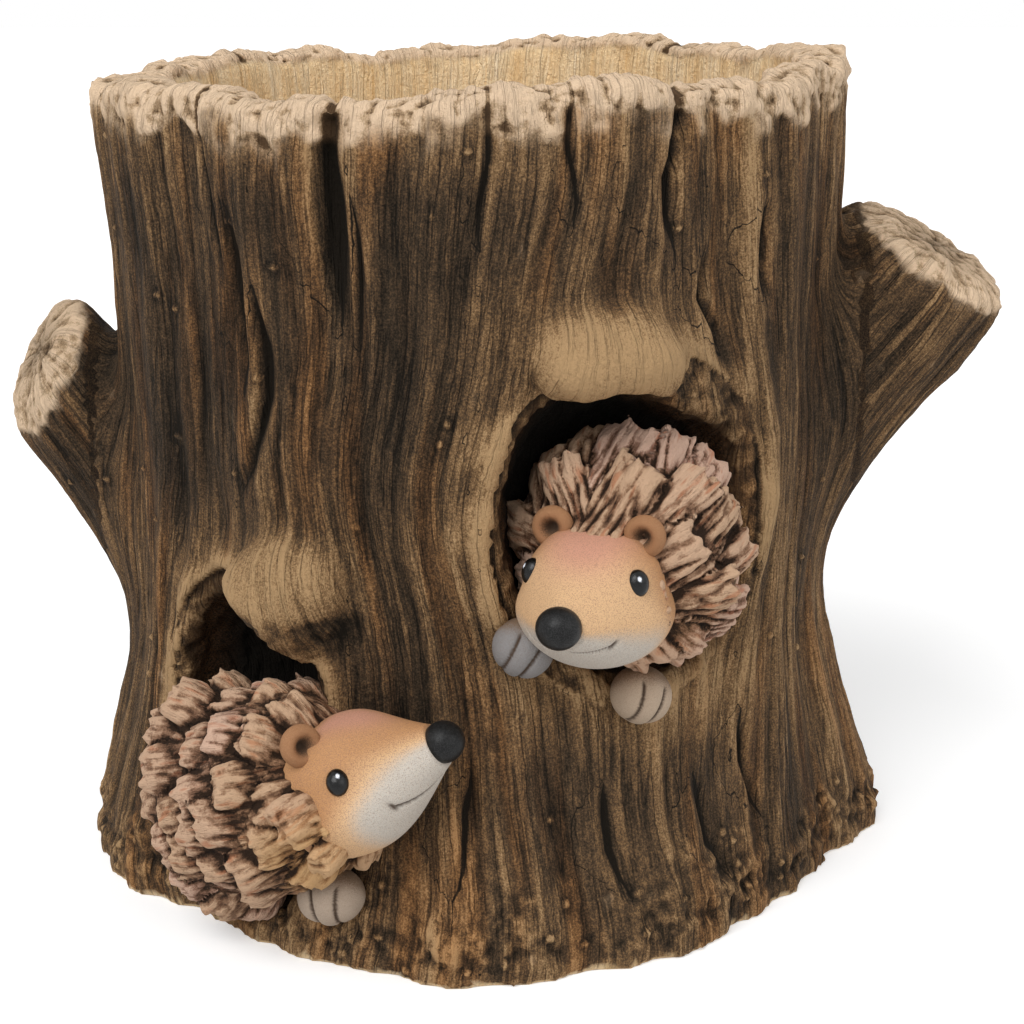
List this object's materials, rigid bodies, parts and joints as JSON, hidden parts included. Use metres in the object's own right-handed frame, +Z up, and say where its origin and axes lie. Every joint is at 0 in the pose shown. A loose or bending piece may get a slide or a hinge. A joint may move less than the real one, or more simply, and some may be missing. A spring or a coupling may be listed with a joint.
{
  "type": "tree stump planter",
  "caption": "Hollow tree stump planter with sawn branch stubs and hedgehogs that look out of dens in the bark; it holds a potted plant or soil and drains through its floor.",
  "frame": {"origin": "centre of the drain hole, on the flat underside that the planter stands on", "axes": "+Z up out of the open top, -Y towards the front that the hedgehogs look out of, +X towards the thicker branch stub"},
  "size_m": [0.2789, 0.2353, 0.2164],
  "materials": {
    "bark": "matt painted cast bark with pale dry-brushed ridges",
    "quills": "matt painted cast quills with a dark wash",
    "face": "matt airbrushed paint, tan to cream",
    "paw": "matt painted, dark between the toes",
    "gloss_black": "gloss black paint"
  },
  "bodies": {
    "root": {"stump_pot": "bark", "left_branch_stub": "bark", "right_branch_stub": "bark", "upper_hedgehog_coat": "quills", "upper_hedgehog_face": "face", "upper_hedgehog_left_ear": "face", "upper_hedgehog_right_ear": "face", "upper_hedgehog_left_eye": "gloss_black", "upper_hedgehog_right_eye": "gloss_black", "upper_hedgehog_nose": "gloss_black", "upper_hedgehog_left_paw": "paw", "upper_hedgehog_right_paw": "paw", "lower_hedgehog_coat": "quills", "lower_hedgehog_face": "face", "lower_hedgehog_ear": "face", "lower_hedgehog_eye": "gloss_black", "lower_hedgehog_nose": "gloss_black", "lower_hedgehog_paw": "paw"}
  },
  "joints": []
}
